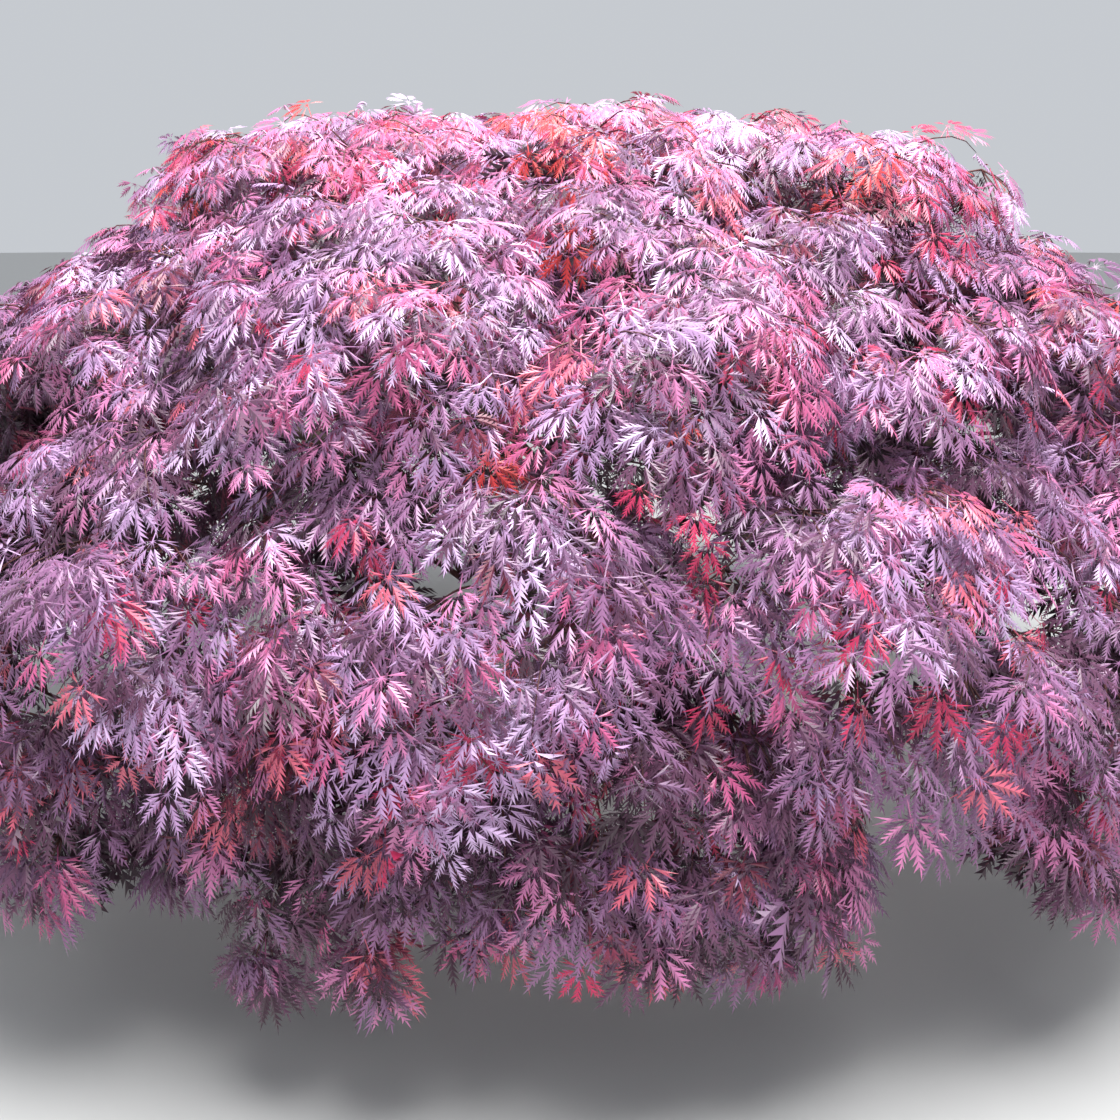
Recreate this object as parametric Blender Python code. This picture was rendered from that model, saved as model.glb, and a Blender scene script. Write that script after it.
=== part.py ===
# Weeping laceleaf Japanese maple, a rooted mound of overhanging foliage tiers.
# Metres, +Z up. The origin is the middle of the flat cut under the trunk, ground level is z = 0.
# Azimuth 0 faces -Y, the side that the mound is looked at from, and 90 degrees faces +X.

import math

import bmesh
import bpy
import numpy as np
from mathutils import Matrix, Vector

PLANT_NAME = "japanese_maple"

# Trunk: height to the fork, the lean of its top and its taper
TRUNK_HEIGHT = 0.62
TRUNK_LEAN_X = 0.045
TRUNK_LEAN_Y = 0.030
TRUNK_BASE_RADIUS = 0.078
TRUNK_FORK_RADIUS = 0.056
TRUNK_SEGMENTS = 20
TRUNK_RING_HEIGHTS = (0.04, 0.09, 0.16, 0.25, 0.36, 0.48)
FLARE_RADIUS = 0.062
FLARE_HEIGHT = 0.085
FLARE_RIBS = 5
FLARE_RIB_DEPTH = 0.32

# Foliage: every mass is a cushion in the shell of the mound, cut off where its neighbour begins
MASS_SEGMENTS = 14
MASS_RINGS = 8
MASS_FULLNESS = 2.5
NEIGHBOUR_GAP = 0.012
UNEVENNESS = 0.075
GROUND_CLEARANCE = 0.22

# Tiers, from the top down. tilt is the angle of a mass's outer face above the horizontal, fall its
# half length down the slope and depth its half thickness. spread widens the tier along X only.
# Each mass: azimuth in degrees, reach from the trunk's axis, height and half width.
TIERS = {
    "top": {
        "tilt": 80.0,
        "fall": 0.46,
        "depth": 0.225,
        "spread": 1.0,
        "masses": {
            "front_left": (-47.0, 0.69, 1.615, 0.45),
            "front_middle": (7.0, 0.64, 1.600, 0.35),
            "front_right": (51.0, 0.74, 1.605, 0.43),
            "back_right": (128.0, 0.48, 1.640, 0.58),
            "back_left": (-140.0, 0.50, 1.645, 0.60),
        },
    },
    "upper": {
        "tilt": 54.0,
        "fall": 0.38,
        "depth": 0.215,
        "spread": 1.05,
        "masses": {
            "left": (-53.0, 1.20, 1.310, 0.50),
            "front_left": (-18.0, 1.12, 1.380, 0.42),
            "front_middle": (9.0, 1.10, 1.400, 0.27),
            "front_right": (31.0, 1.14, 1.340, 0.32),
            "right": (57.0, 1.25, 1.290, 0.42),
            "far_right": (106.0, 1.14, 1.330, 0.64),
            "back_right": (159.0, 1.10, 1.350, 0.64),
            "back_left": (-151.0, 1.12, 1.330, 0.62),
            "far_left": (-103.0, 1.16, 1.350, 0.62),
        },
    },
    "middle": {
        "tilt": 30.0,
        "fall": 0.37,
        "depth": 0.200,
        "spread": 1.12,
        "masses": {
            "front_left": (-36.0, 1.41, 0.950, 0.44),
            "front": (-7.0, 1.36, 1.000, 0.42),
            "front_right": (23.0, 1.38, 0.960, 0.44),
            "right": (60.0, 1.42, 0.930, 0.54),
            "far_right": (101.0, 1.38, 0.960, 0.64),
            "back_right": (143.0, 1.36, 0.980, 0.66),
            "back_left": (-173.0, 1.36, 0.950, 0.66),
            "far_left": (-128.0, 1.38, 0.970, 0.66),
            "left": (-81.0, 1.42, 0.940, 0.64),
        },
    },
    "skirt": {
        "tilt": 8.0,
        "fall": 0.34,
        "depth": 0.170,
        "spread": 1.16,
        "masses": {
            "front_left": (-38.0, 1.50, 0.600, 0.42),
            "front_middle_left": (-15.0, 1.42, 0.570, 0.38),
            "front_middle_right": (7.0, 1.43, 0.560, 0.33),
            "front_right": (39.0, 1.50, 0.620, 0.36),
            "right": (77.0, 1.46, 0.600, 0.62),
            "far_right": (122.0, 1.42, 0.610, 0.64),
            "back_right": (164.0, 1.40, 0.580, 0.66),
            "back_left": (-153.0, 1.42, 0.600, 0.66),
            "far_left": (-112.0, 1.44, 0.590, 0.64),
            "left": (-74.0, 1.46, 0.600, 0.52),
        },
    },
}

# Limbs: each main bough leaves the trunk, bends under the tiers and goes on as an arching bough
LIMB_SIDES = 6
LIMB_POINTS = 8
SURFACE_GAP = 0.0004
MAIN_RADIUS = 0.034
BEND_RADIUS = 0.024
TIP_RADIUS = 0.009
SIDE_RADIUS = 0.017
LEADER_RADIUS = 0.038
BEND_REACH = 0.62
BEND_HEIGHT = 0.98
SEAT_LENGTH = 0.03
CURVE_PULL = 0.38
MAIN_RISE = 0.75
RISING_LEAN_BACK = 0.3
LEADER_SIDE_RISE = 0.4
SHARP_EDGE_ANGLE = math.radians(40.0)
# Each main bough: its azimuth, the height where it leaves the trunk, and the masses that its
# arching, rising and weeping boughs enter
MAIN_BOUGHS = {
    "front": (-4.0, 0.45, "middle_front", "upper_front_left", "skirt_front_middle_left"),
    "right": (62.0, 0.51, "middle_right", "upper_right", "skirt_right"),
    "back_right": (132.0, 0.42, "middle_far_right", "upper_back_right", "skirt_back_right"),
    "back_left": (-152.0, 0.50, "middle_far_left", "upper_back_left", "skirt_back_left"),
    "left": (-76.0, 0.47, "middle_left", "upper_left", "skirt_left"),
}
TOP_BOUGHS = ("top_front_left", "top_front_middle", "top_front_right", "top_back_right")

LEAF_COLOURS = {
    "top": (0.36, 0.055, 0.115, 1.0),
    "upper": (0.30, 0.065, 0.130, 1.0),
    "middle": (0.25, 0.070, 0.140, 1.0),
    "skirt": (0.17, 0.045, 0.080, 1.0),
}
BARK_COLOUR = (0.105, 0.066, 0.050, 1.0)


def clear_scene():
    for item in list(bpy.data.objects):
        bpy.data.objects.remove(item, do_unlink=True)


def new_collection(name):
    collection = bpy.data.collections.new(name)
    bpy.context.scene.collection.children.link(collection)
    return collection


def plain_material(name, colour, roughness):
    material = bpy.data.materials.new(name)
    material.use_nodes = True
    shader = material.node_tree.nodes["Principled BSDF"]
    shader.inputs["Base Color"].default_value = colour
    shader.inputs["Roughness"].default_value = roughness
    shader.inputs["Metallic"].default_value = 0.0
    return material


def add_object(name, mesh, material, collection):
    item = bpy.data.objects.new(name, mesh)
    mesh.materials.clear()
    mesh.materials.append(material)
    mesh.shade_smooth()
    mesh.set_sharp_from_angle(angle=SHARP_EDGE_ANGLE)
    collection.objects.link(item)
    return item


def outward(azimuth):
    angle = math.radians(azimuth)
    return Vector((math.sin(angle), -math.cos(angle), 0.0))


# Trunk

def trunk_axis(height):
    share = height / TRUNK_HEIGHT
    lean = share * share
    return Vector((TRUNK_LEAN_X * lean, TRUNK_LEAN_Y * lean, height))


def trunk_radius(height, angle):
    share = height / TRUNK_HEIGHT
    radius = TRUNK_BASE_RADIUS + (TRUNK_FORK_RADIUS - TRUNK_BASE_RADIUS) * share
    flare = FLARE_RADIUS * math.exp(-height / FLARE_HEIGHT)
    return radius + flare * (1.0 + FLARE_RIB_DEPTH * math.cos(FLARE_RIBS * angle))


def build_trunk(material, collection):
    mesh = bpy.data.meshes.new("trunk")
    bm = bmesh.new()
    bmesh.ops.create_cone(bm, cap_ends=True, segments=TRUNK_SEGMENTS, radius1=1.0, radius2=1.0,
                          depth=TRUNK_HEIGHT, matrix=Matrix.Translation((0.0, 0.0, TRUNK_HEIGHT / 2)))
    for height in TRUNK_RING_HEIGHTS:
        everything = bm.verts[:] + bm.edges[:] + bm.faces[:]
        bmesh.ops.bisect_plane(bm, geom=everything, plane_co=(0.0, 0.0, height), plane_no=(0.0, 0.0, 1.0))
    for vert in bm.verts:
        height = max(0.0, vert.co.z)
        angle = math.atan2(vert.co.y, vert.co.x)
        radius = trunk_radius(height, angle)
        centre = trunk_axis(height)
        vert.co.x = centre.x + radius * math.cos(angle)
        vert.co.y = centre.y + radius * math.sin(angle)
        vert.co.z = height
    bmesh.ops.triangulate(bm, faces=[face for face in bm.faces if len(face.verts) > 4])
    bm.to_mesh(mesh)
    bm.free()
    return add_object("trunk", mesh, material, collection)


# Foliage masses

class Mass:
    def __init__(self, tier, name, tier_sizes, placing):
        azimuth, reach, height, half_width = placing
        self.name = f"{tier}_{name}"
        self.tier = tier
        out = outward(azimuth)
        tilt = math.radians(tier_sizes["tilt"])
        self.centre = Vector((out.x * reach * tier_sizes["spread"], out.y * reach, height))
        self.normal = out * math.cos(tilt) + Vector((0.0, 0.0, math.sin(tilt)))
        self.across = Vector((-out.y, out.x, 0.0))
        self.down = self.normal.cross(self.across)
        self.halves = np.array((half_width, tier_sizes["fall"], tier_sizes["depth"]))
        self.axes = np.array((self.across, self.down, self.normal))

    def field(self, points):
        # 0 at the centre, 1 on the cushion's own surface
        local = (points - np.array(self.centre)) @ self.axes.T / self.halves
        return (np.abs(local) ** MASS_FULLNESS).sum(axis=-1) ** (1.0 / MASS_FULLNESS)

    def slope(self, point):
        # The way in which the field grows at a point
        local = (point - np.array(self.centre)) @ self.axes.T / self.halves
        steepness = np.sign(local) * (np.abs(local) / self.field(point)) ** (MASS_FULLNESS - 1.0)
        return (steepness / self.halves) @ self.axes


def make_masses():
    masses = []
    for tier, sizes in TIERS.items():
        for name, placing in sizes["masses"].items():
            masses.append(Mass(tier, name, sizes, placing))
    return masses


def lumps(points):
    x, y, z = points[:, 0], points[:, 1], points[:, 2]
    coarse = np.sin(9.1 * x + 1.3) * np.cos(8.3 * y + 0.4) + np.sin(10.7 * z + 5.0 * x)
    fine = np.sin(19.0 * x + 4.0 * z) * np.sin(17.0 * y + 2.0)
    return 0.6 * coarse + 0.4 * fine


def reach_to_plane(directions, way, room):
    # How far along each direction a plane lies that faces way, room away from the start
    toward = directions @ way
    return np.where(toward > 0.0, room / np.maximum(toward, 1e-9), np.inf)


def mass_border(mass, masses, directions):
    # The mass's own uneven cushion, cut by a flat face where each neighbour's field equals its own
    centre = np.array(mass.centre)
    reach = 1.0 / mass.field(centre + directions)
    reach *= 1.0 + UNEVENNESS * lumps(centre + directions * reach[:, None])
    for other in masses:
        if other is mass:
            continue
        line = np.array(other.centre) - centre
        own = mass.field(np.array(other.centre))
        theirs = other.field(centre)
        meeting = centre + line * theirs / (own + theirs)
        way = mass.slope(meeting) - other.slope(meeting)
        way /= np.linalg.norm(way)
        room = (meeting - centre) @ way - 0.5 * NEIGHBOUR_GAP
        reach = np.minimum(reach, reach_to_plane(directions, way, room))
    down = np.array((0.0, 0.0, -1.0))
    reach = np.minimum(reach, reach_to_plane(directions, down, mass.centre.z - GROUND_CLEARANCE))
    return centre + directions * reach[:, None]


def build_mass(mass, masses, material, collection):
    mesh = bpy.data.meshes.new(f"foliage_{mass.name}")
    bm = bmesh.new()
    bmesh.ops.create_uvsphere(bm, u_segments=MASS_SEGMENTS, v_segments=MASS_RINGS, radius=1.0)
    sphere = np.array([vert.co for vert in bm.verts])
    places = mass_border(mass, masses, (sphere * mass.halves) @ mass.axes)
    for vert, place in zip(bm.verts, places):
        vert.co = Vector(place)
    bm.to_mesh(mesh)
    bm.free()
    return add_object(f"foliage_{mass.name}", mesh, material, collection)


# Limbs

def bend_curve(start, start_way, end, end_way, count):
    # Evenly stepped points of a cubic curve that leaves and arrives along the given ways
    reach = (end - start).length
    first = start + start_way.normalized() * reach * CURVE_PULL
    second = end - end_way.normalized() * reach * CURVE_PULL
    points = []
    for step in range(count):
        t = step / (count - 1)
        u = 1.0 - t
        points.append(start * u ** 3 + first * 3 * u * u * t + second * 3 * u * t * t + end * t ** 3)
    return points


def limb_mesh(name, points, start_radius, end_radius):
    curve = bpy.data.curves.new(name, "CURVE")
    curve.dimensions = "3D"
    curve.bevel_depth = 1.0
    curve.bevel_resolution = (LIMB_SIDES - 4) // 2
    curve.use_fill_caps = True
    spline = curve.splines.new("POLY")
    spline.points.add(len(points) - 1)
    for step, point in enumerate(points):
        t = step / (len(points) - 1)
        spline.points[step].co = (*point, 1.0)
        spline.points[step].radius = start_radius + (end_radius - start_radius) * t
    holder = bpy.data.objects.new(name, curve)
    bpy.context.scene.collection.objects.link(holder)
    bpy.context.view_layer.update()
    evaluated = holder.evaluated_get(bpy.context.evaluated_depsgraph_get())
    mesh = bpy.data.meshes.new_from_object(evaluated)
    bpy.data.objects.remove(holder, do_unlink=True)
    bm = bmesh.new()
    bm.from_mesh(mesh)
    bmesh.ops.remove_doubles(bm, verts=bm.verts[:], dist=0.00005)
    bmesh.ops.recalc_face_normals(bm, faces=bm.faces[:])
    bm.to_mesh(mesh)
    bm.free()
    return mesh


def grown_copy(item, collection):
    # A cutter a little larger than the piece, which leaves a fine gap to it
    mesh = item.data.copy()
    mesh.name = f"{item.name}_cutter"
    bm = bmesh.new()
    bm.from_mesh(mesh)
    bm.normal_update()
    for vert in bm.verts:
        vert.co += vert.normal * SURFACE_GAP
    bm.to_mesh(mesh)
    bm.free()
    cutter = bpy.data.objects.new(mesh.name, mesh)
    cutter.hide_render = True
    cutter.display_type = "WIRE"
    collection.objects.link(cutter)
    return cutter


def cut_away(item, cutters):
    for cutter in cutters:
        modifier = item.modifiers.new(f"cut by {cutter.name}", "BOOLEAN")
        modifier.operation = "DIFFERENCE"
        modifier.solver = "EXACT"
        modifier.object = cutter


class Limbs:
    def __init__(self, masses, trunk, mass_objects, material, collection, cutters):
        self.masses = {mass.name: mass for mass in masses}
        self.mass_objects = mass_objects
        self.material = material
        self.collection = collection
        self.cutters = cutters
        self.cutter_of = {}
        self.trunk = trunk

    def cutter(self, item):
        if item.name not in self.cutter_of:
            self.cutter_of[item.name] = grown_copy(item, self.cutters)
        return self.cutter_of[item.name]

    def add(self, name, points, radii, cut_by):
        mesh = limb_mesh(name, points, *radii)
        item = add_object(name, mesh, self.material, self.collection)
        cut_away(item, [self.cutter(other) for other in cut_by])
        return item

    def into_mass(self, name, start, start_way, mass_name, radius, parent):
        mass = self.masses[mass_name]
        arrive = Vector((mass.normal.x, mass.normal.y, 0.5 * mass.normal.z))
        points = bend_curve(start, start_way, mass.centre, arrive, LIMB_POINTS)
        cut_by = [parent, self.mass_objects[mass_name]]
        return self.add(name, points, (radius, TIP_RADIUS), cut_by)


def build_main_bough(limbs, name, sizes):
    azimuth, leave_height, arch_mass, rise_mass, weep_mass = sizes
    out = outward(azimuth)
    up = Vector((0.0, 0.0, 1.0))
    start = trunk_axis(leave_height)
    bend = out * BEND_REACH + up * BEND_HEIGHT
    points = bend_curve(start, out + up * MAIN_RISE, bend, out + up * MAIN_RISE, LIMB_POINTS)
    main = limbs.add(f"bough_{name}", points, (MAIN_RADIUS, BEND_RADIUS), [limbs.trunk])
    way = (points[-1] - points[-2]).normalized()
    mass = limbs.masses[arch_mass]
    seat = bend + way * SURFACE_GAP
    arch = [seat] + bend_curve(seat + way * SEAT_LENGTH, way, mass.centre, mass.normal, LIMB_POINTS)
    limbs.add(f"bough_{name}_arching", arch, (BEND_RADIUS, TIP_RADIUS), [limbs.mass_objects[arch_mass]])
    rising_way = up - out * RISING_LEAN_BACK
    limbs.into_mass(f"bough_{name}_rising", points[-3], rising_way, rise_mass, SIDE_RADIUS, main)
    limbs.into_mass(f"bough_{name}_weeping", points[-4], out, weep_mass, SIDE_RADIUS, main)


def build_leader(limbs):
    top = limbs.masses["top_back_left"]
    start = trunk_axis(TRUNK_HEIGHT)
    way = (start - trunk_axis(TRUNK_HEIGHT - SEAT_LENGTH)).normalized()
    points = bend_curve(start + Vector((0.0, 0.0, SURFACE_GAP)), way, top.centre, top.normal, LIMB_POINTS)
    leader = limbs.add("leader", points, (LEADER_RADIUS, TIP_RADIUS),
                       [limbs.trunk, limbs.mass_objects["top_back_left"]])
    for step, mass_name in enumerate(TOP_BOUGHS):
        leave = points[2 + step % 3]
        toward = limbs.masses[mass_name].centre - leave
        toward.z *= LEADER_SIDE_RISE
        limbs.into_mass(f"bough_{mass_name}", leave, toward, mass_name, SIDE_RADIUS, leader)


def build_plant():
    clear_scene()
    plant = new_collection(PLANT_NAME)
    cutters = new_collection("cutters")
    bark = plain_material("bark", BARK_COLOUR, 0.85)
    trunk = build_trunk(bark, plant)
    masses = make_masses()
    mass_objects = {}
    for tier, colour in LEAF_COLOURS.items():
        leaves = plain_material(f"{tier}_leaves", colour, 0.55)
        for mass in masses:
            if mass.tier == tier:
                mass_objects[mass.name] = build_mass(mass, masses, leaves, plant)
    limbs = Limbs(masses, trunk, mass_objects, bark, plant, cutters)
    for name, sizes in MAIN_BOUGHS.items():
        build_main_bough(limbs, name, sizes)
    build_leader(limbs)


build_plant()
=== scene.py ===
import math

import bmesh
import bpy
import numpy as np
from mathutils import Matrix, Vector
from mathutils.bvhtree import BVHTree


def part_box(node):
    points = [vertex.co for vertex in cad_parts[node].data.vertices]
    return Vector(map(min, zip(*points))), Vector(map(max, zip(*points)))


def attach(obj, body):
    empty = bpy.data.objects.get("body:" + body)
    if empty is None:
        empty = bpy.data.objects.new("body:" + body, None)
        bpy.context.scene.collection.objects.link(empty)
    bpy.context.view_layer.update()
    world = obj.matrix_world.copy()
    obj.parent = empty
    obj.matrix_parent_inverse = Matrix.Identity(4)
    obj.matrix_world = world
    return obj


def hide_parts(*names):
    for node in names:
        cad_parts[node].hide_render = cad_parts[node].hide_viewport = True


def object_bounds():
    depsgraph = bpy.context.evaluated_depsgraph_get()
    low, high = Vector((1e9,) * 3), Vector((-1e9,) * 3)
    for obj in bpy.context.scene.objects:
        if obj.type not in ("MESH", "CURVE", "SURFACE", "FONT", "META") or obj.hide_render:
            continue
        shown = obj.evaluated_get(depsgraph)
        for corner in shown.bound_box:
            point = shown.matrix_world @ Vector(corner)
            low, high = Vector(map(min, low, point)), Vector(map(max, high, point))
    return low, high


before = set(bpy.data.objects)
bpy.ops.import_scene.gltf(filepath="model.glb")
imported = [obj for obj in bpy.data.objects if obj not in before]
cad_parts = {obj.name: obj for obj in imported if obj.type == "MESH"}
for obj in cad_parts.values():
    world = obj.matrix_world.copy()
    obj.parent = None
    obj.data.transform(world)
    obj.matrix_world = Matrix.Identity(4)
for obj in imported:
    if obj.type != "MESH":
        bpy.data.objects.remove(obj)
cadLow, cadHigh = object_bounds()
bpy.ops.object.select_all(action="DESELECT")

# Metres, z up. The front of the plant faces -y: azimuth 0 is the front and 90 is +x.
up = np.array((0.0, 0.0, 1.0))
masses = sorted(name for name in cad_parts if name.startswith("foliage_"))
limbs = sorted(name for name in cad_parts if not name.startswith("foliage_"))


def unit(vectors):
    vectors = np.asarray(vectors, float)
    return vectors / np.maximum(np.linalg.norm(vectors, axis=-1, keepdims=True), 1e-9)


def tierOf(mass):
    return mass.split("_")[1]


def centreOf(mass):
    low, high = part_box(mass)
    return np.array((low + high) / 2)


def isNear(place, others, distance):
    return bool(others) and ((np.array(others) - place) ** 2).sum(-1).min() < distance ** 2


outline = {
    "proud": 0.035,  # how far leaves and twigs may stand out of the plant's box
    "squeeze": 0.25,  # how much is left of what goes past that
    "lowest": 0.02,
}


def insideBox(points):
    # the few tips that would stand out of the plant's box are drawn back to it
    low, high = np.array(cadLow) - outline["proud"], np.array(cadHigh) + outline["proud"]
    low[2] = outline["lowest"]
    return low + np.abs(np.minimum(points, high + (points - high) * outline["squeeze"]) - low)


# Materials

class Wire:
    # one output socket, so that a sum or product of sockets is written as plain maths
    def __init__(self, tree, socket=None):
        self.tree = tree
        self.socket = socket

    def node(self, kind, settings, values, output=0):
        made = self.tree.nodes.new(kind)
        for key, value in settings.items():
            if key == "stops":
                ramp = made.color_ramp.elements
                while len(ramp) < len(value):
                    ramp.new(0.5)
                for stop, (place, colour) in zip(ramp, value):
                    stop.position, stop.color = place, (*colour, 1.0)
            else:
                setattr(made, key, value)
        for key, value in values.items():
            if isinstance(value, Wire):
                self.tree.links.new(value.socket, made.inputs[key])
            else:
                made.inputs[key].default_value = value
        return Wire(self.tree, made.outputs[output])

    def maths(self, operation, first, second):
        return self.node("ShaderNodeMath", {"operation": operation}, {0: first, 1: second})

    def __add__(self, other):
        return self.maths("ADD", self, other)

    def __sub__(self, other):
        return self.maths("SUBTRACT", self, other)

    def __rsub__(self, other):
        return self.maths("SUBTRACT", other, self)

    def __mul__(self, other):
        return self.maths("MULTIPLY", self, other)

    __radd__ = __add__
    __rmul__ = __mul__


def newMaterial(name):
    material = bpy.data.materials.new(name)
    material.use_nodes = True
    return material, material.node_tree.nodes["Principled BSDF"]


def plainMaterial(name, colour, roughness, sheen=0.0):
    material, shader = newMaterial(name)
    shader.inputs["Base Color"].default_value = (*colour, 1.0)
    shader.inputs["Roughness"].default_value = roughness
    shader.inputs["Sheen Weight"].default_value = sheen
    return material


bark = {
    "furrows": (38.0, 38.0, 7.0),  # how often the furrows repeat across and along
    "furrowDetail": 6.0,
    "furrowRoughness": 0.62,
    "patches": 6.0,
    "patchDetail": 3.0,
    "pores": 2.2,
    "shares": (0.7, 0.3, 0.12),  # of furrows, patches and pores in the height
    "tones": (
        (0.30, (0.030, 0.019, 0.016)),
        (0.47, (0.105, 0.070, 0.056)),
        (0.68, (0.230, 0.175, 0.145)),
    ),
    "roughness": 0.72,
    "roughnessSpread": 0.2,
    "bump": 0.004,
    "bumpStrength": 0.7,
}


def barkMaterial():
    material, shader = newMaterial("bark")
    wire = Wire(material.node_tree)
    place = wire.node("ShaderNodeTexCoord", {}, {}, "Object")
    along = wire.node("ShaderNodeMapping", {}, {"Vector": place, "Scale": bark["furrows"]})
    furrow = wire.node("ShaderNodeTexNoise", {}, {
        "Vector": along,
        "Scale": 1.0,
        "Detail": bark["furrowDetail"],
        "Roughness": bark["furrowRoughness"],
    })
    patch = wire.node("ShaderNodeTexNoise", {}, {
        "Vector": place,
        "Scale": bark["patches"],
        "Detail": bark["patchDetail"],
    })
    pore = wire.node("ShaderNodeTexVoronoi", {}, {
        "Vector": along,
        "Scale": bark["pores"],
    }, "Distance")
    furrowShare, patchShare, poreShare = bark["shares"]
    height = furrow * furrowShare + patch * patchShare - poreShare * pore
    colour = wire.node("ShaderNodeValToRGB", {"stops": bark["tones"]}, {"Fac": height})
    rough = bark["roughness"] + bark["roughnessSpread"] * (furrow - 0.5)
    bump = wire.node("ShaderNodeBump", {}, {
        "Strength": bark["bumpStrength"],
        "Distance": bark["bump"],
        "Height": height,
    })
    links = material.node_tree.links
    links.new(colour.socket, shader.inputs["Base Color"])
    links.new(rough.socket, shader.inputs["Roughness"])
    links.new(bump.socket, shader.inputs["Normal"])
    return material


twigBark = {"colour": (0.105, 0.036, 0.034), "roughness": 0.55}
leafFinish = {"roughness": 0.36, "sheen": 0.10}

# Leaf tints as plain base colours. Each tier deals them out by spray with its own weights, and the
# weights paint light and shade into the leaves: painted highlight on the top tiers, painted shade
# on the skirt and inside, and painted glow of leaves lit from behind at the top.
tints = {
    # the two palest tints are painted highlight: the sky's sheen on upturned leaves, put into the
    # base colour
    "palest": (0.620, 0.420, 0.672),
    "lavender": (0.420, 0.245, 0.448),
    "mauve": (0.300, 0.130, 0.269),
    "greyMauve": (0.215, 0.100, 0.202),
    # darkPlum is painted shade; plum and wine are leaf colours that are also dealt as painted
    # shade on the skirt and inside
    "plum": (0.120, 0.042, 0.090),
    "darkPlum": (0.045, 0.016, 0.031),
    "pink": (0.560, 0.180, 0.370),
    "rose": (0.460, 0.085, 0.213),
    "coral": (0.640, 0.120, 0.190),
    # crimson is the colour of young leaves and, where the top tiers get more of it, also painted
    # glow of leaves lit from behind; scarlet, dealt almost only to the top, is painted glow of
    # backlit leaves
    "crimson": (0.450, 0.024, 0.090),
    "scarlet": (0.560, 0.038, 0.043),
    "wine": (0.180, 0.024, 0.056),
}
tintNames = list(tints)
tintWeights = {
    # the pale tints of painted highlight thin out from the top row down to none on the skirt and
    # inside
    "top": (10, 15, 11, 5, 2, 0, 17, 14, 8, 13, 6, 2),
    "upper": (6, 17, 24, 14, 9, 1, 12, 8, 2, 4, 1, 3),
    "middle": (4, 14, 27, 18, 13, 2, 11, 6, 2, 1, 0, 2),
    # the skirt row is painted shade: mostly dark tints low down, where the plant shades itself
    "skirt": (0, 1, 10, 18, 34, 17, 5, 5, 2, 1, 0, 8),
    # the inside row is painted shade for the leaves deep in the crown
    "inside": (0, 0, 0, 5, 30, 50, 0, 1, 0, 0, 0, 14),
}
newGrowth = [tintNames.index(name) for name in ("pink", "rose", "coral", "crimson")]


def tintChances(where):
    weights = np.array(tintWeights[where], float)
    return weights / weights.sum()


# Bark pieces: each limb's own shape, rounded off, with the bark's relief in the mesh

relief = {
    "trunk": {"levels": 3, "height": 0.0105, "grain": 0.036},
    "limb": {"levels": 2, "height": 0.0026, "grain": 0.022},
    "merge": 0.00002,
    "sharpAngle": 67.0,  # an edge that turns more than this stays sharp
    "fineGrain": 0.3,  # the fine relief's grain and height over the coarse one's
    "fineHeight": 0.45,
    "noiseDepth": 3,
    "midLevel": 0.35,
}


def barkPiece(node, material, coarse):
    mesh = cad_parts[node].data.copy()
    mesh.name = f"bark_{node}"
    piece = bpy.data.objects.new(mesh.name, mesh)
    bpy.context.scene.collection.objects.link(piece)
    bm = bmesh.new()
    bm.from_mesh(mesh)
    bmesh.ops.remove_doubles(bm, verts=bm.verts[:], dist=relief["merge"])
    crease = bm.edges.layers.float.new("crease_edge")
    sharp = math.radians(relief["sharpAngle"])
    for edge in bm.edges:
        if len(edge.link_faces) == 2 and edge.calc_face_angle() > sharp:
            edge[crease] = 1.0
    bm.to_mesh(mesh)
    bm.free()
    mesh.materials.clear()
    mesh.materials.append(material)
    bpy.ops.object.select_all(action="DESELECT")
    piece.select_set(True)
    bpy.context.view_layer.objects.active = piece
    rounded = piece.modifiers.new("rounded", "SUBSURF")
    rounded.levels = rounded.render_levels = coarse["levels"]
    for name, grainShare, heightShare in (
        ("ridges", 1.0, 1.0),
        ("grain", relief["fineGrain"], relief["fineHeight"]),
    ):
        texture = bpy.data.textures.new(f"{mesh.name}_{name}", "CLOUDS")
        texture.noise_scale = coarse["grain"] * grainShare
        texture.noise_depth = relief["noiseDepth"]
        displaced = piece.modifiers.new(name, "DISPLACE")
        displaced.texture = texture
        displaced.strength = coarse["height"] * heightShare
        displaced.mid_level = relief["midLevel"]
    for modifier in list(piece.modifiers):
        bpy.ops.object.modifier_apply(modifier=modifier.name)
    for vert in piece.data.vertices:
        vert.co.z = max(vert.co.z, 0.0)  # the cut under the trunk stays flat
    piece.data.shade_smooth()
    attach(piece, "root")
    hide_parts(node)


# Joined meshes from arrays

def meshPiece(name, points, faces, materials, faceTints, flat=True):
    mesh = bpy.data.meshes.new(name)
    mesh.vertices.add(len(points))
    mesh.vertices.foreach_set("co", points.astype(np.float32).ravel())
    mesh.loops.add(faces.size)
    mesh.loops.foreach_set("vertex_index", faces.astype(np.int32).ravel())
    mesh.polygons.add(len(faces))
    mesh.polygons.foreach_set("loop_start", np.arange(0, faces.size, 3, dtype=np.int32))
    for material in materials:
        mesh.materials.append(material)
    mesh.polygons.foreach_set("material_index", faceTints.astype(np.int32))
    mesh.update(calc_edges=True)
    mesh.validate()
    if flat:
        mesh.shade_flat()
    else:
        mesh.shade_smooth()
    piece = bpy.data.objects.new(name, mesh)
    bpy.context.scene.collection.objects.link(piece)
    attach(piece, "root")
    return piece


tube = {
    "aside": (0.31, 0.17, 0.94),  # the points of a ring are laid out from this direction
    "shootSides": 3,
    "branchletSides": 4,
}


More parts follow.
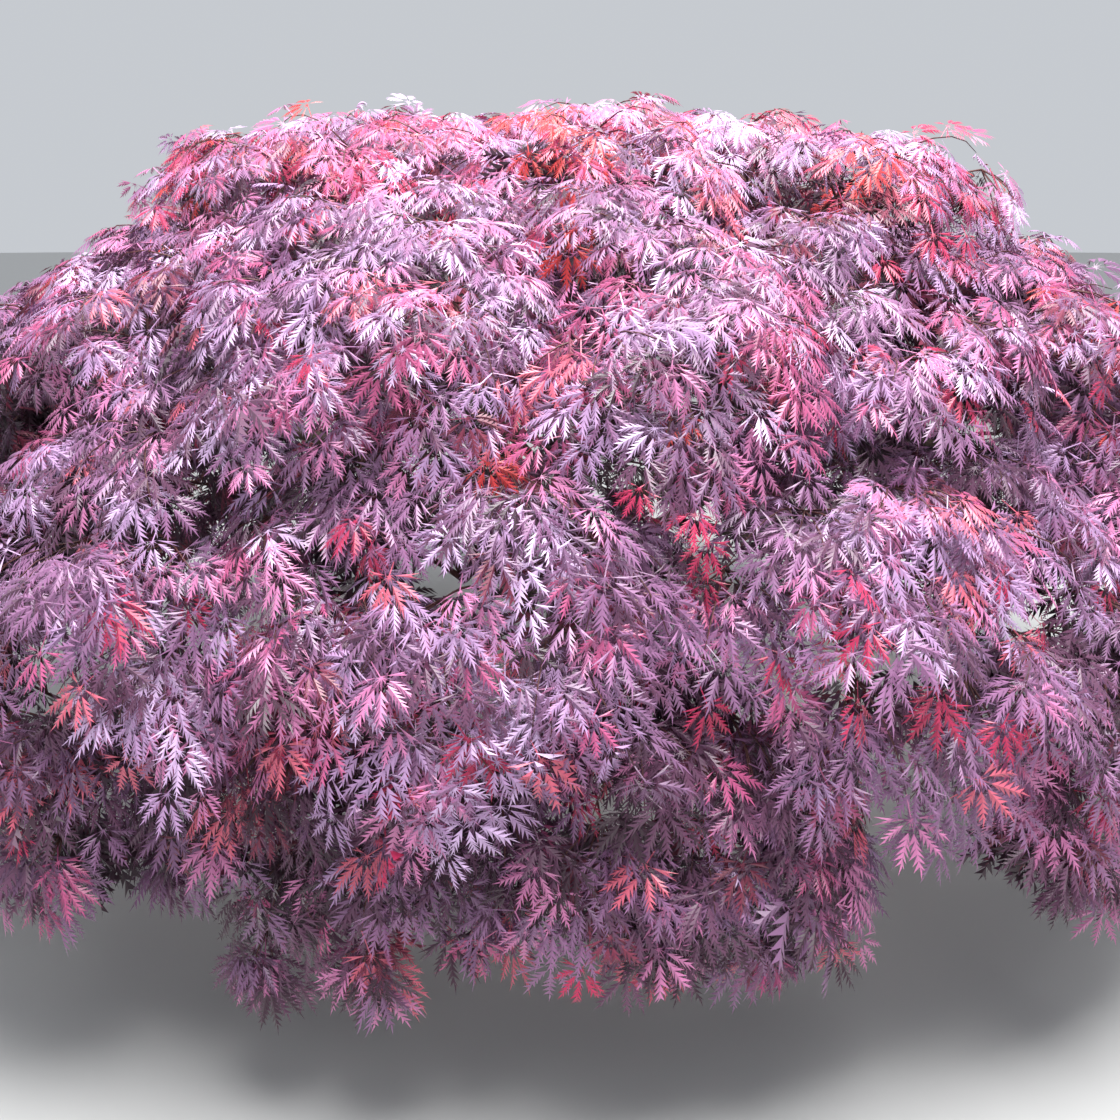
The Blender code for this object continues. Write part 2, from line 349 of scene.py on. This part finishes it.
def tubeMesh(paths, widths, sides):
    # closed tubes along paths, shape (tubes, points, 3), with a radius at each point
    paths, widths = np.array(paths), np.array(widths)
    count, steps = paths.shape[:2]
    ways = unit(np.gradient(paths, axis=1))
    first = unit(np.cross(ways, np.array(tube["aside"])))
    second = np.cross(ways, first)
    turns = np.arange(sides) * 2.0 * math.pi / sides
    cosines, sines = np.cos(turns)[:, None], np.sin(turns)[:, None]
    ring = first[:, :, None] * cosines + second[:, :, None] * sines
    points = paths[:, :, None] + ring * widths[:, :, None, None]
    pattern = []
    for step in range(steps - 1):
        for side in range(sides):
            a, b = step * sides + side, step * sides + (side + 1) % sides
            pattern += [(a, b, b + sides), (a, b + sides, a + sides)]
    last = (steps - 1) * sides
    for side in range(1, sides - 1):
        pattern += [(0, side + 1, side), (last, last + side, last + side + 1)]
    pattern = np.array(pattern)
    faces = pattern[None] + (np.arange(count) * steps * sides)[:, None, None]
    return points.reshape(-1, 3), faces.reshape(-1, 3)


# One leaf: lobes that radiate from the stalk's end, each a thin rib with pairs of lobelets
# that point forward. Widths are shares of a lobe's length, and the stalk's is in metres.

leaf = {
    "turns": (0.0, 31.0, -31.0, 63.0, -63.0, 102.0, -102.0),  # degrees off the middle lobe
    "turnSpread": 0.07,
    "lengths": (1.0, 0.95, 0.95, 0.78, 0.78, 0.50, 0.50),
    "lengthSpread": (0.88, 1.08),
    "pairs": (5, 5, 5, 4, 4, 1, 1),
    "bareShare": 0.20,  # where along a lobe its first lobelet starts
    "tipStart": 0.74,  # and where its last one ends
    "shortening": 0.16,
    "curlSpread": 0.07,
    "lobeletReach": 0.118,
    "lobeletSpread": (0.78, 1.18),
    "lobeletForward": 1.95,
    "lobeletShape": (0.20, 0.66, 0.8),  # start, span and power of the half wave that they swell in
    "ribWidth": 0.020,
    "tipWidth": 1.5,  # over the rib's
    "tipShoulder": 0.25,
    "fold": 0.45,
    "stalkWidth": 0.0011,
}
# The leaves in the shade inside, and those round the back, have fewer and broader lobes
broadLeaf = dict(
    leaf,
    turns=(0.0, 38.0, -38.0, 80.0, -80.0),
    lengths=(1.0, 0.95, 0.95, 0.80, 0.80),
    pairs=(4, 4, 4, 4, 4),
    bareShare=0.15,
    tipStart=0.80,
    lobeletReach=0.155,
    lobeletForward=1.65,
)


def leafMesh(rows, plan, rng):
    # rows: stalk start, stalk end, middle lobe's way, blade's face, lobe length, droop, tint
    start, base, way, face = (np.array([row[i] for row in rows]) for i in range(4))
    size, droop = (np.array([row[i] for row in rows]) for i in (4, 5))
    count = len(rows)
    way = unit(way)
    face = unit(face - way * (face * way).sum(-1, keepdims=True))
    across = np.cross(face, way)
    waveStart, waveSpan, wavePower = plan["lobeletShape"]
    parts, pattern, used = [], [], 0
    for turn, length, pairs in zip(plan["turns"], plan["lengths"], plan["pairs"]):
        angle = math.radians(turn) + rng.normal(0.0, plan["turnSpread"], count)
        lobeWay = way * np.cos(angle)[:, None] + across * np.sin(angle)[:, None]
        side = np.cross(face, lobeWay)
        reach = size * length * rng.uniform(*plan["lengthSpread"], count)
        lobeletStarts = np.linspace(plan["bareShare"], plan["tipStart"], pairs + 1)
        shares = np.concatenate(([0.0], lobeletStarts, [1.0]))
        bend = droop * (1.0 + lobeWay[:, 2]) * 0.5
        curl = rng.normal(0.0, plan["curlSpread"], count)
        t = shares[None, :, None]
        rib = lobeWay[:, None] * t * (1.0 - plan["shortening"] * t)
        rib = rib - up * bend[:, None, None] * t * t
        rib = rib + side[:, None] * curl[:, None, None] * t * t
        rib = base[:, None] + rib * reach[:, None, None]
        segments = rib[:, 1:] - rib[:, :-1]
        middle = (np.arange(pairs) + 0.5) / pairs
        wave = np.sin(math.pi * (waveStart + waveSpan * middle)) ** wavePower
        profile = plan["lobeletReach"] * wave
        lobelets = []
        for sign in (1.0, -1.0):
            out = reach[:, None] * profile * rng.uniform(*plan["lobeletSpread"], (count, pairs))
            out = out[:, :, None]
            tip = rib[:, 1:-2] + segments[:, 1:-1] * plan["lobeletForward"]
            tip = tip + (side * sign)[:, None] * out - (face * plan["fold"])[:, None] * out
            lobelets.append(tip)
        ribWidth = (side * (size * plan["ribWidth"])[:, None])[:, None]
        stem = rib[:, :1] + ribWidth
        shoulder = segments[:, -1:] * plan["tipShoulder"]
        point = rib[:, -2:-1] + shoulder + ribWidth * plan["tipWidth"]
        parts += [rib, *lobelets, stem, point]
        ribCount = pairs + 3
        left, right = used + ribCount, used + ribCount + pairs
        pattern.append((used, used + 1, right + pairs))
        for pair in range(pairs):
            a = used + 1 + pair
            pattern += [(a, a + 1, left + pair), (a, right + pair, a + 1)]
        pattern.append((used + pairs + 1, used + pairs + 2, right + pairs + 1))
        used += ribCount + 2 * pairs + 2
    wide = across * plan["stalkWidth"]
    parts.append(np.stack((start - wide, start + wide, base + wide, base - wide), axis=1))
    pattern += [(used, used + 1, used + 2), (used, used + 2, used + 3)]
    used += 4
    points = np.concatenate(parts, axis=1)
    faces = np.array(pattern)[None] + (np.arange(count) * used)[:, None, None]
    faceTints = np.repeat([row[6] for row in rows], len(pattern))
    return points.reshape(-1, 3), faces.reshape(-1, 3), faceTints


# Where sprays grow: apexes spread over the outside of the masses

growth = {
    "placeSeed": 11,
    "massSeed": 100,  # of the first mass, and one more for each that follows
    "candidates": 26000,  # places that are tried
    "frontSpacing": 0.170,
    "backSpacing": 0.225,
    "frontHalfAngle": 78.0,
    "leastFacing": -0.05,  # places that face further in or down than this stay bare
    "skin": 0.003,  # the free air is measured from this far over the surface
    "clearWay": 0.07,  # an apex has this much free air in front of it
    "creaseRoom": 0.03,  # one with less, but more than this, becomes a shaded one
    "creaseSpacing": 0.20,
    "innerSpacing": 0.36,
    "innerDepth": 0.085,
}


def massSurface():
    corners, owners, points, polygons = [], [], [], []
    for index, name in enumerate(masses):
        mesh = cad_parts[name].data
        mesh.calc_loop_triangles()
        co = np.array([vert.co for vert in mesh.vertices])
        tris = np.array([tri.vertices for tri in mesh.loop_triangles])
        polygons += (tris + len(points)).tolist()
        points += co.tolist()
        corners.append(co[tris])
        owners.append(np.full(len(tris), index))
    tree = BVHTree.FromPolygons(points, polygons)
    return np.concatenate(corners), np.concatenate(owners), tree


def findApexes(corners, owners, tree, rng):
    # each apex: place, normal, way out from the trunk, mass, whether in front, whether shaded
    cross = np.cross(corners[:, 1] - corners[:, 0], corners[:, 2] - corners[:, 0])
    areas = np.linalg.norm(cross, axis=1)
    picks = rng.choice(len(areas), growth["candidates"], p=areas / areas.sum())
    a, b = rng.random((2, len(picks), 1))
    flip = a + b > 1.0
    a, b = np.where(flip, 1.0 - a, a), np.where(flip, 1.0 - b, b)
    tri = corners[picks]
    places = tri[:, 0] + (tri[:, 1] - tri[:, 0]) * a + (tri[:, 2] - tri[:, 0]) * b
    normals = unit(cross[picks])
    outward = unit(places * (1.0, 1.0, 0.0))
    kept, creases, inner, apexes = [], [], [], []
    for place, normal, out, owner in zip(places, normals, outward, owners[picks]):
        azimuth = math.degrees(math.atan2(place[0], -place[1]))
        front = abs(azimuth) < growth["frontHalfAngle"]
        if normal @ out + normal[2] < growth["leastFacing"]:
            continue
        above = Vector(place + normal * growth["skin"])
        wall, _, _, room = tree.ray_cast(above, Vector(normal), growth["clearWay"])
        if wall is not None:
            isCrease = room > growth["creaseRoom"]
            if isCrease and not isNear(place, creases, growth["creaseSpacing"]):
                creases.append(place)
                apexes.append((place, normal, out, owner, front, True))
            continue
        if isNear(place, kept, growth["frontSpacing" if front else "backSpacing"]):
            continue
        kept.append(place)
        apexes.append((place, normal, out, owner, front, False))
    for place, normal, out, owner, front, inside in list(apexes):
        if inside:
            continue
        deep = place - normal * growth["innerDepth"]
        if isNear(deep, inner, growth["innerSpacing"]):
            continue
        inner.append(deep)
        if tierOf(masses[owner]) != "top":
            apexes.append((deep, normal, out, owner, front, True))
    return apexes


# A fan of shoots that arch out of one apex and weep down the slope

fan = {
    "shoots": 5,
    "insideShoots": 3,
    "width": {"top": 74.0, "upper": 64.0, "middle": 54.0, "skirt": 36.0},  # degrees to a side
    "turn": 12.0,
    "turnSpread": 9.0,
    "hem": {"top": -0.06, "upper": -0.10, "middle": -0.03, "skirt": 0.21},  # over a mass's foot
    "shortest": 0.3,  # a shoot keeps at least this share of its length
    "faceUp": 0.35,
    "faceOut": 0.25,
    "fallOut": 0.75,
    "fallDown": (0.30, 0.7),  # at least, and what is added as a side gets steeper
    "depth": 0.055,  # how deep under the mass's surface a fan starts
    "depthSpread": 0.045,
    "shadeDepth": {"top": (0.11, 0.075), "lower": (0.04, 0.02)},  # depth and sink of shaded fans
    "shadeTuck": 0.6,
    "upSlope": 0.11,  # how far up the slope from the middle of its leaves a fan starts
    "points": 6,
    "length": (0.13, 0.215),
    "arch": (0.015, 0.050),
    "archTurn": 2.1,
    "shadeArch": 0.2,
    "depthRise": 0.9,  # how much of its depth a shoot arches back up
    "sag": (0.03, 0.075),
    "radius": (0.0022, 0.0008),
    "clusterTintShare": 0.30,  # how often a shoot has the tint of its whole fan
}
# The leaves along a shoot, in pairs at its nodes and one at its end
shootLeaf = {
    "size": {"top": 0.083, "upper": 0.090, "middle": 0.098, "skirt": 0.100},
    "sizeSpread": (0.78, 1.16),
    "backSize": 1.13,
    "shadeSize": 1.30,
    "spacing": 0.056,
    "fewestNodes": 2,
    "first": 0.22,  # where along the shoot the first pair stands
    "endSide": 0.35,
    "stalk": (0.024, 0.042),
    "stalkAlong": 0.55,
    "stalkLift": (0.05, 0.55),
    "stalkSag": 0.006,
    "followStalk": 0.62,
    "followShoot": 0.40,
    "down": (0.25, 0.75),
    "waySpread": 0.16,
    "followFan": 0.8,
    "faceUp": 0.55,
    "faceSpread": 0.28,
    "droop": (0.30, 0.75),
    "sprayTintShare": 0.55,  # how often a leaf has its shoot's tint
    "newGrowthShare": 0.28,  # how often the leaf at a shoot's end is a young one
}
# The shaded leaf under the foot of each shoot
footLeaf = {
    "drop": (0.03, 0.075),
    "placeSpread": 0.018,
    "followShoot": 0.6,
    "followFall": 0.7,
    "waySpread": 0.25,
    "sizeSpread": (0.85, 1.15),
    "droop": (0.1, 0.5),
}


def pickTint(chances, rng):
    return rng.choice(len(tintNames), p=chances)


def growFootLeaf(path, way, fall, soft, tier, rng):
    end = path[1] - soft * rng.uniform(*footLeaf["drop"])
    end = end + rng.normal(0.0, footLeaf["placeSpread"], 3)
    lobeWay = way * footLeaf["followShoot"] + fall * footLeaf["followFall"]
    lobeWay = lobeWay + rng.normal(0.0, footLeaf["waySpread"], 3)
    size = shootLeaf["size"][tier] * shootLeaf["shadeSize"] * rng.uniform(*footLeaf["sizeSpread"])
    # painted shade: the leaf under the shoot's foot takes the dark inside tints
    tint = pickTint(tintChances("inside"), rng)
    face = soft + rng.normal(0.0, footLeaf["waySpread"], 3)
    return path[0], end, lobeWay, face, size, rng.uniform(*footLeaf["droop"]), tint


def growLeaves(path, length, soft, tier, sprayTint, chances, front, inside, rng):
    rows = []
    steps = len(path) - 1
    nodes = shootLeaf["fewestNodes"]
    if not inside:
        nodes = max(nodes, int(round(length / shootLeaf["spacing"])))
    for node in range(nodes + 1):
        at = (shootLeaf["first"] + (1.0 - shootLeaf["first"]) * node / nodes) * steps
        low = min(int(at), steps - 1)
        spot = path[low] + (path[low + 1] - path[low]) * (at - low)
        along = unit(path[low + 1] - path[low])
        beside = np.cross(along, soft)
        sides = (1.0, -1.0)
        if node == nodes:
            sides = (shootLeaf["endSide"] * rng.choice(sides[::-1]),)
        for side in sides:
            stalkWay = along * shootLeaf["stalkAlong"] + beside * side
            stalkWay = stalkWay + soft * rng.uniform(*shootLeaf["stalkLift"])
            stalkWay = unit(stalkWay + rng.normal(0.0, shootLeaf["waySpread"], 3))
            end = spot + stalkWay * rng.uniform(*shootLeaf["stalk"]) - up * shootLeaf["stalkSag"]
            lobeWay = stalkWay * shootLeaf["followStalk"] + along * shootLeaf["followShoot"]
            lobeWay = lobeWay - up * rng.uniform(*shootLeaf["down"])
            lobeWay = lobeWay + rng.normal(0.0, shootLeaf["waySpread"], 3)
            face = soft * shootLeaf["followFan"] + up * shootLeaf["faceUp"]
            face = face + rng.normal(0.0, shootLeaf["faceSpread"], 3)
            size = shootLeaf["size"][tier] * rng.uniform(*shootLeaf["sizeSpread"])
            size *= 1.0 if front else shootLeaf["backSize"]
            ownTint = rng.random() >= shootLeaf["sprayTintShare"]
            tint = pickTint(chances, rng) if ownTint else sprayTint
            if node == nodes and not inside and rng.random() < shootLeaf["newGrowthShare"]:
                tint = rng.choice(newGrowth)
            if inside:
                size *= shootLeaf["shadeSize"]
            rows.append((spot, end, lobeWay, face, size, rng.uniform(*shootLeaf["droop"]), tint))
    return rows


def growApex(apex, tier, lowest, rng, leaves, shaded, twigs):
    place, normal, out, _, front, inside = apex
    soft = unit(normal + fan["faceUp"] * up + fan["faceOut"] * out)
    depth, sink = fan["shadeDepth"]["top" if tier == "top" else "lower"]
    if not inside:
        depth = fan["depth"] + rng.uniform(-fan["depthSpread"], fan["depthSpread"])
    least, more = fan["fallDown"]
    fall = out * fan["fallOut"] - up * (least + more * max(0.0, 1.0 - soft[2]))
    fall = unit(fall - soft * (fall @ soft))
    across = np.cross(soft, fall)
    root = place - normal * depth - fall * fan["upSlope"]
    if inside:  # shaded shoots keep under the outline
        root = root - up * sink - out * sink * fan["shadeTuck"]
    count = fan["insideShoots" if inside else "shoots"]
    turn = rng.uniform(-fan["turn"], fan["turn"])
    # shaded fans take the dark inside tints as painted shade; the others take their tier's tints
    # with its painted highlight, glow and shade
    chances = tintChances("inside" if inside else tier)
    clusterTint = pickTint(chances, rng)
    for number in range(count):
        angle = turn + fan["width"][tier] * (2.0 * number / (count - 1) - 1.0)
        angle = math.radians(angle + rng.normal(0.0, fan["turnSpread"]))
        way = fall * math.cos(angle) + across * math.sin(angle)
        length = rng.uniform(*fan["length"])
        arch = rng.uniform(*fan["arch"]) * (fan["shadeArch"] if inside else 1.0)
        sag = rng.uniform(*fan["sag"])
        t = np.linspace(0.0, 1.0, fan["points"])[:, None]
        drop = sag - way[2] * length
        if drop > 0.0:  # a shoot ends above the mass's lower edge
            shorter = min(1.0, max(fan["shortest"], (root[2] - lowest) / drop))
            length, sag = length * shorter, sag * shorter
        rise = arch if inside else depth * fan["depthRise"] + arch
        lift = soft * rise * np.sin(t * fan["archTurn"])
        path = root + way * length * t + lift - up * sag * t * t
        twigs.append((path, np.linspace(*fan["radius"], fan["points"])))
        ownTint = rng.random() >= fan["clusterTintShare"]
        sprayTint = pickTint(chances, rng) if ownTint else clusterTint
        if not inside:
            shaded.append(growFootLeaf(path, way, fall, soft, tier, rng))
        rows = growLeaves(path, length, soft, tier, sprayTint, chances, front, inside, rng)
        (leaves if front and not inside else shaded).extend(rows)


# Branchlets: from the nearest limb's end into the mass, then in forks to its apexes

branchlet = {
    "trunkFork": (0.04, 0.03, 0.45),  # a limb's end is its part farthest from here
    "limbEndSize": 0.022,
    "heart": 0.25,  # how far from a mass's centre towards the limb's end the forks start
    "forkTwigs": 4,
    "forkShare": 0.6,
    "forkSpread": 0.012,
    "points": 7,
    "stem": {"lift": 0.02, "radius": (0.0088, 0.0060)},
    "fork": {"lift": 0.03, "radius": (0.0058, 0.0038)},
    "twig": {"lift": 0.018, "radius": (0.0036, 0.0021)},
}


def limbEnds():
    ends = []
    for name in limbs:
        if name == "trunk":
            continue
        co = np.array([vert.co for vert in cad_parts[name].data.vertices])
        fromFork = np.linalg.norm(co - np.array(branchlet["trunkFork"]), axis=1)
        far = co[np.argmax(fromFork)]
        ends.append(co[np.linalg.norm(co - far, axis=1) < branchlet["limbEndSize"]].mean(0))
    return np.array(ends)


def archedPath(start, end, plan):
    t = np.linspace(0.0, 1.0, branchlet["points"])[:, None]
    path = start + (end - start) * t + up * plan["lift"] * np.sin(math.pi * t)
    return path, np.linspace(*plan["radius"], branchlet["points"])


def growBranchlets(heart, limbEnd, roots, rng):
    stems = [archedPath(limbEnd, heart, branchlet["stem"])]
    left = list(range(len(roots)))
    while left:
        far = left[int(np.argmax([np.linalg.norm(roots[i] - heart) for i in left]))]
        group = sorted(left, key=lambda i: np.linalg.norm(roots[i] - roots[far]))
        group = group[:branchlet["forkTwigs"]]
        left = [i for i in left if i not in group]
        middle = np.mean([roots[i] for i in group], axis=0)
        fork = heart + (middle - heart) * branchlet["forkShare"]
        fork = fork + rng.normal(0.0, branchlet["forkSpread"], 3)
        stems.append(archedPath(heart, fork, branchlet["fork"]))
        stems += [archedPath(fork, roots[i], branchlet["twig"]) for i in group]
    return stems


# The plant

barkLook = barkMaterial()
twigLook = plainMaterial("twig_bark", twigBark["colour"], twigBark["roughness"])
leafLooks = [
    plainMaterial(f"leaf_{name}", colour, leafFinish["roughness"], leafFinish["sheen"])
    for name, colour in tints.items()
]

for limb in limbs:
    barkPiece(limb, barkLook, relief["trunk" if limb == "trunk" else "limb"])
print(f"bark pieces: {len(limbs)}")

allApexes = findApexes(*massSurface(), np.random.default_rng(growth["placeSeed"]))
ends = limbEnds()
print(f"apexes: {len(allApexes)}, outside {sum(not apex[5] for apex in allApexes)}")

leafCount = triangleCount = 0
for index, name in enumerate(masses):
    rng = np.random.default_rng(growth["massSeed"] + index)
    tier = tierOf(name)
    short = name.replace("foliage_", "")
    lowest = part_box(name)[0].z + fan["hem"][tier]
    leaves, shaded, shoots = [], [], []
    for apex in allApexes:
        if apex[3] == index:
            growApex(apex, tier, lowest, rng, leaves, shaded, shoots)

    points, faces, faceTints = leafMesh(shaded, broadLeaf, rng)
    if leaves:
        finePoints, fineFaces, fineTints = leafMesh(leaves, leaf, rng)
        faces = np.concatenate((faces, fineFaces + len(points)))
        points = np.concatenate((points, finePoints))
        faceTints = np.concatenate((faceTints, fineTints))
    points = insideBox(points)
    piece = meshPiece(f"leaves_{short}", points, faces, leafLooks, faceTints)
    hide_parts(name)

    centre = centreOf(name)
    limbEnd = ends[np.argmin(np.linalg.norm(ends - centre, axis=1))]
    heart = centre + (limbEnd - centre) * branchlet["heart"]
    # the foot of each fan, once
    roots = np.array([path[0] for path, _ in shoots[::fan["insideShoots"]]])
    roots = roots[np.unique(roots.round(4), axis=0, return_index=True)[1]]
    stems = growBranchlets(heart, limbEnd, roots, rng)
    shootPoints, shootFaces = tubeMesh(*zip(*shoots), tube["shootSides"])
    stemPoints, stemFaces = tubeMesh(*zip(*stems), tube["branchletSides"])
    twigPoints = insideBox(np.concatenate((shootPoints, stemPoints)))
    twigFaces = np.concatenate((shootFaces, stemFaces + len(shootPoints)))
    oneTint = np.zeros(len(twigFaces))
    meshPiece(f"twigs_{short}", twigPoints, twigFaces, [twigLook], oneTint, flat=False)

    leafCount += len(leaves) + len(shaded)
    triangleCount += len(faces) + len(twigFaces)
print(f"leaves: {leafCount}, triangles of leaves and twigs: {triangleCount}")

# Floor, light and camera

studio = {
    "floor": (0.58, 0.58, 0.57),
    "floorRoughness": 0.8,
    "floorRadius": 90.0,
    "floorSides": 96,
    "sky": (0.90, 0.94, 1.0),
    "skyStrength": 0.63,
    "keyPlace": (0.5, -1.5, 5.4),
    "keyAim": (0.0, -0.3, 1.0),
    "keySize": 3.2,
    "keyPower": 605.0,
    "cameraPlace": (0.0, -2.96, 1.60),
    "cameraTilt": 18.7,
    "sensor": 36.0,
    "lens": 36.0 * 970.0 / 1120.0,  # 970 px in the frame of 1120 px
}

bpy.ops.object.select_all(action="DESELECT")
bpy.ops.mesh.primitive_circle_add(
    vertices=studio["floorSides"],
    radius=studio["floorRadius"],
    fill_type="NGON",
    location=(0.0, 0.0, 0.0),
)
floor = bpy.context.object
floor.name = "floor"
floor.data.materials.append(plainMaterial("floor", studio["floor"], studio["floorRoughness"]))

world = bpy.data.worlds.new("studio")
bpy.context.scene.world = world
world.use_nodes = True
background = world.node_tree.nodes["Background"]
background.inputs["Color"].default_value = (*studio["sky"], 1.0)
background.inputs["Strength"].default_value = studio["skyStrength"]

lamp = bpy.data.lights.new("key", "AREA")
lamp.size = studio["keySize"]
lamp.energy = studio["keyPower"]
key = bpy.data.objects.new("key", lamp)
bpy.context.scene.collection.objects.link(key)
key.location = studio["keyPlace"]
aim = Vector(studio["keyAim"]) - key.location
key.rotation_euler = aim.to_track_quat("-Z", "Y").to_euler()

lens = bpy.data.cameras.new("camera")
lens.sensor_width = studio["sensor"]
lens.lens = studio["lens"]
camera = bpy.data.objects.new("camera", lens)
bpy.context.scene.collection.objects.link(camera)
camera.location = studio["cameraPlace"]
camera.rotation_euler = (math.radians(90.0 - studio["cameraTilt"]), 0.0, 0.0)
bpy.context.scene.camera = camera
bpy.context.scene.view_settings.view_transform = "Standard"
print("studio ready")
